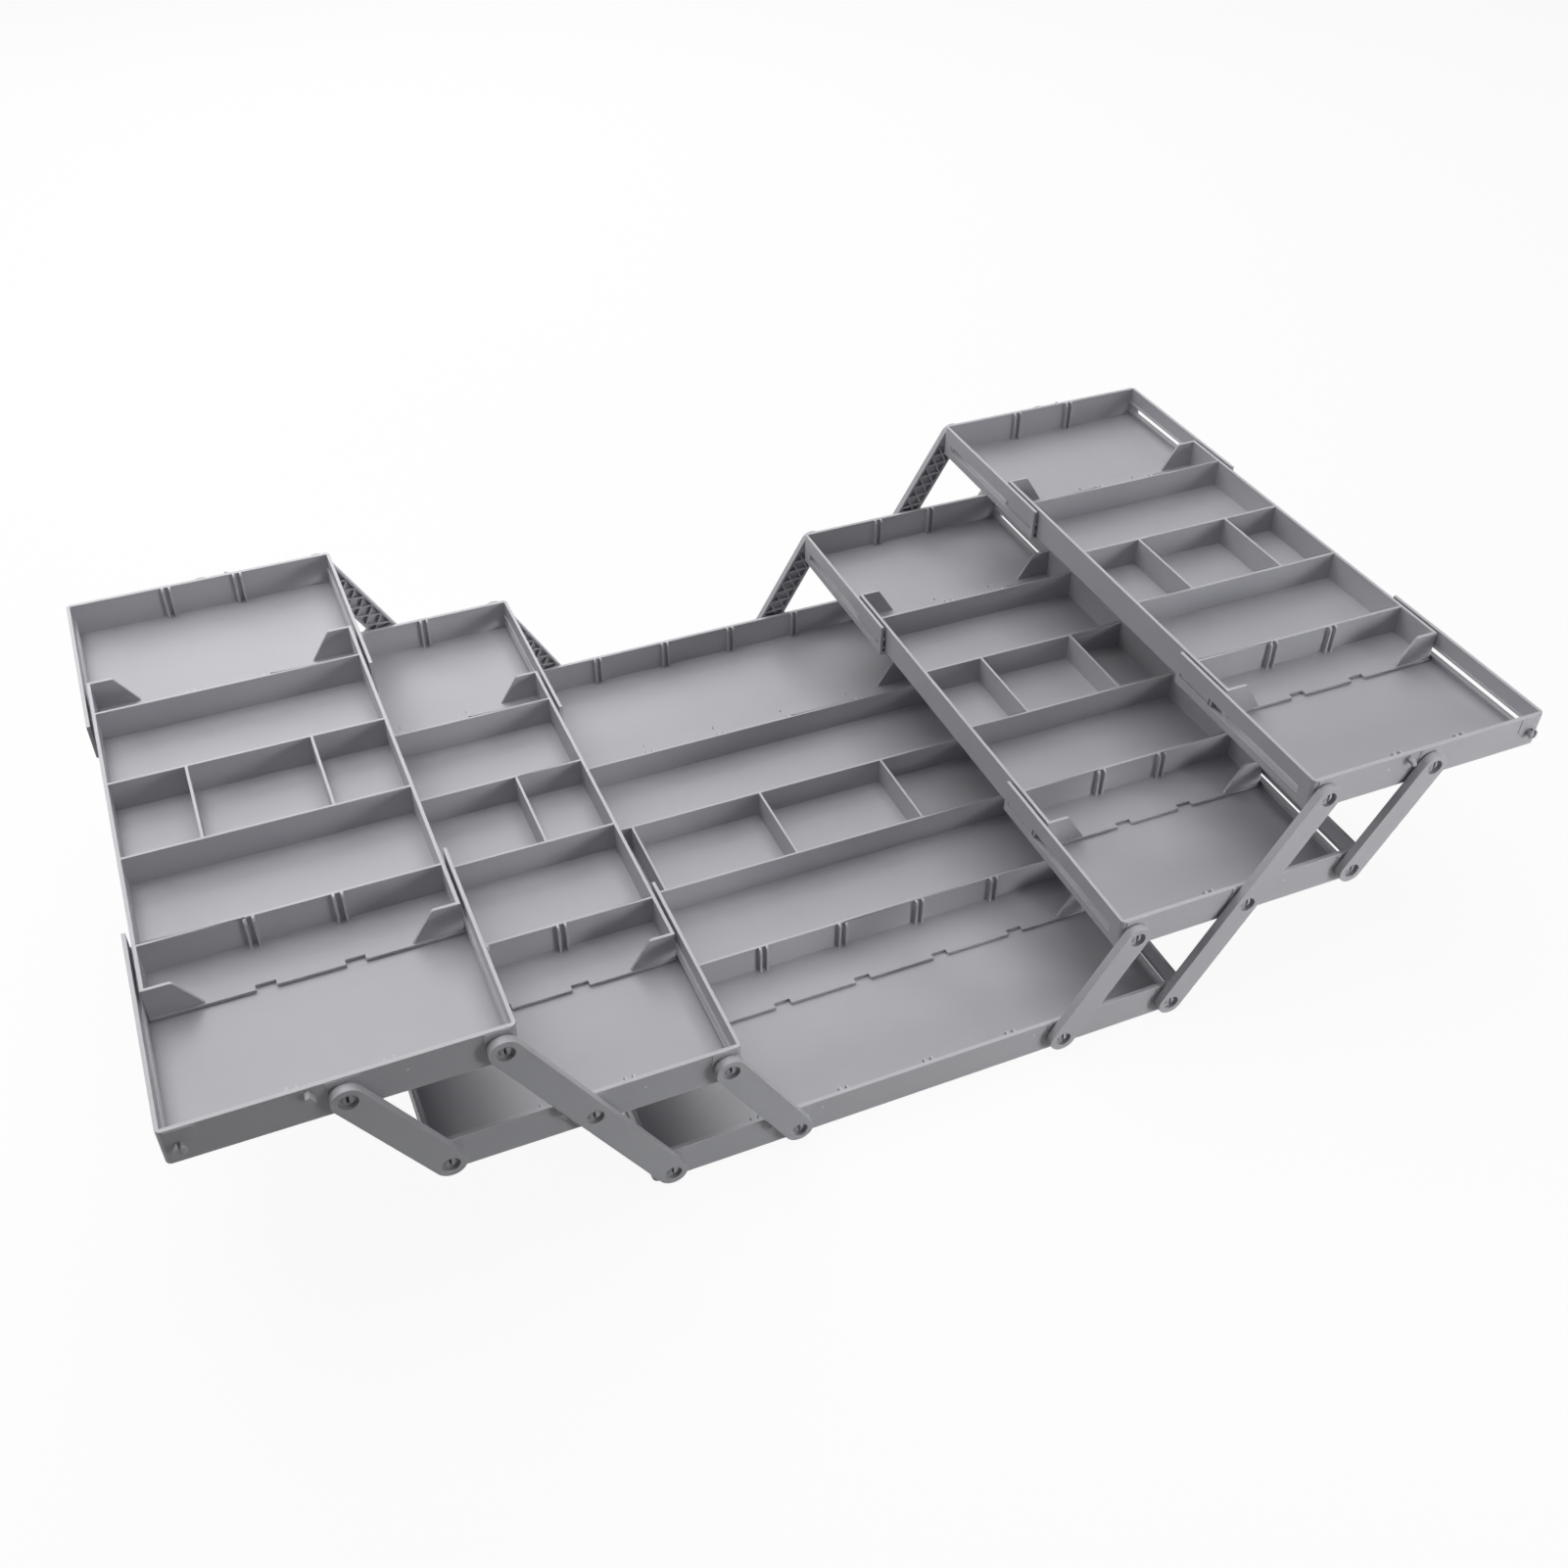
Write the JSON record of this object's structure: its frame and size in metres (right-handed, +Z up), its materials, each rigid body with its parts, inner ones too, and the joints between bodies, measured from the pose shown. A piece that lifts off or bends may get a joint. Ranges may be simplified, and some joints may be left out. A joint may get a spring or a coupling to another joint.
{
  "type": "desk organizer",
  "caption": "Fold-out desk organizer: smaller trays swing out from a wide base on parallel arms, and every tray lengthens by end drawers that slide over its divided centre.",
  "frame": {"origin": "middle of the base tray's underside, on the surface it stands on", "axes": "+Z up, +Y towards the rear, +X to the right, along the row of trays"},
  "size_m": [0.765, 0.4438, 0.1527],
  "materials": {
    "grey_plastic": "satin moulded"
  },
  "bodies": {
    "base_centre_tray": {"base_centre_tray": "grey_plastic"},
    "base_front_drawer": {"base_front_drawer": "grey_plastic"},
    "base_rear_drawer": {"base_rear_drawer": "grey_plastic"},
    "left_middle_centre_tray": {"left_middle_centre_tray": "grey_plastic"},
    "left_middle_front_drawer": {"left_middle_front_drawer": "grey_plastic"},
    "left_middle_rear_drawer": {"left_middle_rear_drawer": "grey_plastic"},
    "left_top_centre_tray": {"left_top_centre_tray": "grey_plastic"},
    "left_top_front_drawer": {"left_top_front_drawer": "grey_plastic"},
    "left_top_rear_drawer": {"left_top_rear_drawer": "grey_plastic"},
    "left_front_lower_arm": {"left_front_lower_arm": "grey_plastic"},
    "left_front_long_arm": {"left_front_long_arm": "grey_plastic"},
    "left_front_upper_arm": {"left_front_upper_arm": "grey_plastic"},
    "left_rear_lower_arm": {"left_rear_lower_arm": "grey_plastic"},
    "left_rear_long_arm": {"left_rear_long_arm": "grey_plastic"},
    "left_rear_upper_arm": {"left_rear_upper_arm": "grey_plastic"},
    "right_middle_centre_tray": {"right_middle_centre_tray": "grey_plastic"},
    "right_middle_front_drawer": {"right_middle_front_drawer": "grey_plastic"},
    "right_middle_rear_drawer": {"right_middle_rear_drawer": "grey_plastic"},
    "right_top_centre_tray": {"right_top_centre_tray": "grey_plastic"},
    "right_top_front_drawer": {"right_top_front_drawer": "grey_plastic"},
    "right_top_rear_drawer": {"right_top_rear_drawer": "grey_plastic"},
    "right_front_lower_arm": {"right_front_lower_arm": "grey_plastic"},
    "right_front_long_arm": {"right_front_long_arm": "grey_plastic"},
    "right_front_upper_arm": {"right_front_upper_arm": "grey_plastic"},
    "right_rear_lower_arm": {"right_rear_lower_arm": "grey_plastic"},
    "right_rear_long_arm": {"right_rear_long_arm": "grey_plastic"},
    "right_rear_upper_arm": {"right_rear_upper_arm": "grey_plastic"}
  },
  "joints": [
    {"name": "front_slide", "type": "slide", "parent": "base_centre_tray", "child": "base_front_drawer", "axis": [0, 1, 0], "range_m": [0, 0.083]},
    {"name": "rear_slide", "type": "slide", "parent": "base_centre_tray", "child": "base_rear_drawer", "axis": [0, -1, 0], "range_m": [0, 0.083]},
    {"name": "left_fold", "type": "hinge", "parent": "base_front_drawer", "child": "left_front_long_arm", "pos_m": [-0.15375, -0.2194, 0.0116], "axis": [0, 1, 0], "range_deg": [0, 102.7]},
    {"name": "left_front_lower_arm_pivot", "type": "hinge", "parent": "base_front_drawer", "child": "left_front_lower_arm", "pos_m": [-0.08175, -0.2194, 0.0116], "axis": [0, 1, 0], "range_deg": [0, 102.7]},
    {"name": "left_middle_tray_pivot", "type": "hinge", "parent": "left_front_long_arm", "child": "left_middle_front_drawer", "pos_m": [-0.19212, -0.2194, 0.07674], "axis": [0, 1, 0], "range_deg": [-102.7, 0]},
    {"name": "left_top_tray_pivot", "type": "hinge", "parent": "left_front_long_arm", "child": "left_top_front_drawer", "pos_m": [-0.23049, -0.2194, 0.14188], "axis": [0, 1, 0], "range_deg": [-102.7, 0]},
    {"name": "left_front_upper_arm_pivot", "type": "hinge", "parent": "left_middle_front_drawer", "child": "left_front_upper_arm", "pos_m": [-0.26412, -0.2194, 0.07674], "axis": [0, 1, 0], "range_deg": [0, 102.7]},
    {"name": "left_middle_front_slide", "type": "slide", "parent": "left_middle_front_drawer", "child": "left_middle_centre_tray", "axis": [0, -1, 0], "range_m": [0, 0.083]},
    {"name": "left_middle_rear_slide", "type": "slide", "parent": "left_middle_centre_tray", "child": "left_middle_rear_drawer", "axis": [0, -1, 0], "range_m": [0, 0.083]},
    {"name": "left_top_front_slide", "type": "slide", "parent": "left_top_front_drawer", "child": "left_top_centre_tray", "axis": [0, -1, 0], "range_m": [0, 0.083]},
    {"name": "left_top_rear_slide", "type": "slide", "parent": "left_top_centre_tray", "child": "left_top_rear_drawer", "axis": [0, -1, 0], "range_m": [0, 0.083]},
    {"name": "left_rear_long_arm_pivot", "type": "hinge", "parent": "base_rear_drawer", "child": "left_rear_long_arm", "pos_m": [-0.15375, 0.2194, 0.0116], "axis": [0, 1, 0], "range_deg": [0, 102.7]},
    {"name": "left_rear_lower_arm_pivot", "type": "hinge", "parent": "base_rear_drawer", "child": "left_rear_lower_arm", "pos_m": [-0.08175, 0.2194, 0.0116], "axis": [0, 1, 0], "range_deg": [0, 102.7]},
    {"name": "left_rear_upper_arm_pivot", "type": "hinge", "parent": "left_middle_rear_drawer", "child": "left_rear_upper_arm", "pos_m": [-0.26412, 0.2194, 0.07674], "axis": [0, 1, 0], "range_deg": [0, 102.7]},
    {"name": "right_fold", "type": "hinge", "parent": "base_front_drawer", "child": "right_front_long_arm", "pos_m": [0.15375, -0.2194, 0.0116], "axis": [0, -1, 0], "range_deg": [0, 102.7]},
    {"name": "right_front_lower_arm_pivot", "type": "hinge", "parent": "base_front_drawer", "child": "right_front_lower_arm", "pos_m": [0.08175, -0.2194, 0.0116], "axis": [0, -1, 0], "range_deg": [0, 102.7]},
    {"name": "right_middle_tray_pivot", "type": "hinge", "parent": "right_front_long_arm", "child": "right_middle_front_drawer", "pos_m": [0.19212, -0.2194, 0.07674], "axis": [0, -1, 0], "range_deg": [-102.7, 0]},
    {"name": "right_top_tray_pivot", "type": "hinge", "parent": "right_front_long_arm", "child": "right_top_front_drawer", "pos_m": [0.23049, -0.2194, 0.14188], "axis": [0, -1, 0], "range_deg": [-102.7, 0]},
    {"name": "right_front_upper_arm_pivot", "type": "hinge", "parent": "right_middle_front_drawer", "child": "right_front_upper_arm", "pos_m": [0.26412, -0.2194, 0.07674], "axis": [0, -1, 0], "range_deg": [0, 102.7]},
    {"name": "right_middle_front_slide", "type": "slide", "parent": "right_middle_front_drawer", "child": "right_middle_centre_tray", "axis": [0, -1, 0], "range_m": [0, 0.083]},
    {"name": "right_middle_rear_slide", "type": "slide", "parent": "right_middle_centre_tray", "child": "right_middle_rear_drawer", "axis": [0, -1, 0], "range_m": [0, 0.083]},
    {"name": "right_top_front_slide", "type": "slide", "parent": "right_top_front_drawer", "child": "right_top_centre_tray", "axis": [0, -1, 0], "range_m": [0, 0.083]},
    {"name": "right_top_rear_slide", "type": "slide", "parent": "right_top_centre_tray", "child": "right_top_rear_drawer", "axis": [0, -1, 0], "range_m": [0, 0.083]},
    {"name": "right_rear_long_arm_pivot", "type": "hinge", "parent": "base_rear_drawer", "child": "right_rear_long_arm", "pos_m": [0.15375, 0.2194, 0.0116], "axis": [0, -1, 0], "range_deg": [0, 102.7]},
    {"name": "right_rear_lower_arm_pivot", "type": "hinge", "parent": "base_rear_drawer", "child": "right_rear_lower_arm", "pos_m": [0.08175, 0.2194, 0.0116], "axis": [0, -1, 0], "range_deg": [0, 102.7]},
    {"name": "right_rear_upper_arm_pivot", "type": "hinge", "parent": "right_middle_rear_drawer", "child": "right_rear_upper_arm", "pos_m": [0.26412, 0.2194, 0.07674], "axis": [0, -1, 0], "range_deg": [0, 102.7]}
  ],
  "couplings": [
    {"joint": "left_front_lower_arm_pivot", "follows": "left_fold", "ratio": 1},
    {"joint": "left_middle_tray_pivot", "follows": "left_fold", "ratio": -1},
    {"joint": "left_top_tray_pivot", "follows": "left_fold", "ratio": -1},
    {"joint": "left_front_upper_arm_pivot", "follows": "left_fold", "ratio": 1},
    {"joint": "left_middle_front_slide", "follows": "front_slide", "ratio": 1},
    {"joint": "left_middle_rear_slide", "follows": "rear_slide", "ratio": 1},
    {"joint": "left_top_front_slide", "follows": "front_slide", "ratio": 1},
    {"joint": "left_top_rear_slide", "follows": "rear_slide", "ratio": 1},
    {"joint": "left_rear_long_arm_pivot", "follows": "left_fold", "ratio": 1},
    {"joint": "left_rear_lower_arm_pivot", "follows": "left_fold", "ratio": 1},
    {"joint": "left_rear_upper_arm_pivot", "follows": "left_fold", "ratio": 1},
    {"joint": "right_front_lower_arm_pivot", "follows": "right_fold", "ratio": 1},
    {"joint": "right_middle_tray_pivot", "follows": "right_fold", "ratio": -1},
    {"joint": "right_top_tray_pivot", "follows": "right_fold", "ratio": -1},
    {"joint": "right_front_upper_arm_pivot", "follows": "right_fold", "ratio": 1},
    {"joint": "right_middle_front_slide", "follows": "front_slide", "ratio": 1},
    {"joint": "right_middle_rear_slide", "follows": "rear_slide", "ratio": 1},
    {"joint": "right_top_front_slide", "follows": "front_slide", "ratio": 1},
    {"joint": "right_top_rear_slide", "follows": "rear_slide", "ratio": 1},
    {"joint": "right_rear_long_arm_pivot", "follows": "right_fold", "ratio": 1},
    {"joint": "right_rear_lower_arm_pivot", "follows": "right_fold", "ratio": 1},
    {"joint": "right_rear_upper_arm_pivot", "follows": "right_fold", "ratio": 1}
  ]
}
